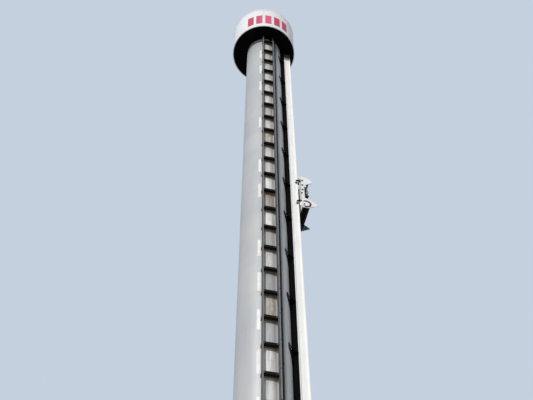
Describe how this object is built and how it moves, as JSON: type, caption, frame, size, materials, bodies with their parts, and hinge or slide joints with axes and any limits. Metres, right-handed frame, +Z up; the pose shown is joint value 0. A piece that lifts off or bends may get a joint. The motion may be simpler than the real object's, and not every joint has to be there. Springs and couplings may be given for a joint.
{
  "type": "drop tower ride, 1:10 scale model",
  "caption": "Scale model of a fairground drop tower: a round column with a drum head, a front track, and a gondola with a row of seats that runs on a rail track.",
  "frame": {"origin": "centre of the base plate's underside, on the column's axis", "axes": "+Z up along the column, -Y towards the front track, +X towards the drop track and its gondola"},
  "size_m": [1.14, 1.0196, 11.9],
  "materials": {
    "galvanised_steel": "dull galvanised",
    "column_paint": "satin silver-grey, weathered",
    "head_white": "satin white",
    "soffit_black": "matt black",
    "roof_grey": "matt grey",
    "track_paint": "satin dark grey",
    "track_frame_dark": "dark, rust-stained",
    "rail_white": "gloss white",
    "bracket_black": "satin black",
    "brake_metal": "worn bare metal",
    "buffer_rubber": "matt black",
    "carriage_paint": "satin pale grey",
    "wheel_tyre": "dark polyurethane",
    "magnet_dark": "satin dark grey",
    "gondola_white": "gloss white moulding",
    "tray_dark": "matt black",
    "seat_shell": "black moulding",
    "restraint_metal": "grey powder coat"
  },
  "bodies": {
    "tower": {"base_plate": "galvanised_steel", "column_section_1": "column_paint", "column_section_2": "column_paint", "column_section_3": "column_paint", "column_section_4": "column_paint", "column_section_5": "column_paint", "column_section_6": "column_paint", "column_section_7": "column_paint", "column_section_8": "column_paint", "column_section_9": "column_paint", "head_band": "head_white", "head_soffit": "soffit_black", "head_roof": "roof_grey", "head_ribs": "roof_grey", "front_track_left_rail": "track_paint", "front_track_right_rail": "track_paint", "front_track_frames": "track_frame_dark", "cable_duct": "track_frame_dark", "drop_rail_near": "rail_white", "drop_rail_far": "rail_white", "drop_track_brackets": "bracket_black", "drop_track_backing": "bracket_black", "brake_fin": "brake_metal", "landing_frame": "bracket_black", "landing_buffers": "buffer_rubber"},
    "gondola": {"carriage_near_plate": "carriage_paint", "carriage_far_plate": "carriage_paint", "carriage_tubes": "carriage_paint", "wheel_cheeks": "bracket_black", "upper_wheels": "wheel_tyre", "lower_wheels": "wheel_tyre", "brake_magnets": "magnet_dark", "near_end_frame": "gondola_white", "far_end_frame": "gondola_white", "hood": "gondola_white", "back_panel": "gondola_white", "foot_fairing": "gondola_white", "under_tray": "tray_dark", "seat_beam": "magnet_dark", "seat_backs": "seat_shell", "seat_pans": "seat_shell", "seat_bolsters": "seat_shell", "headrests": "seat_shell", "shaft_brackets": "restraint_metal", "restraints": "restraint_metal"}
  },
  "joints": [
    {"name": "gondola_drop", "type": "slide", "parent": "tower", "child": "gondola", "axis": [0, 0, 1], "range_m": [-6.635, 3.5]}
  ]
}
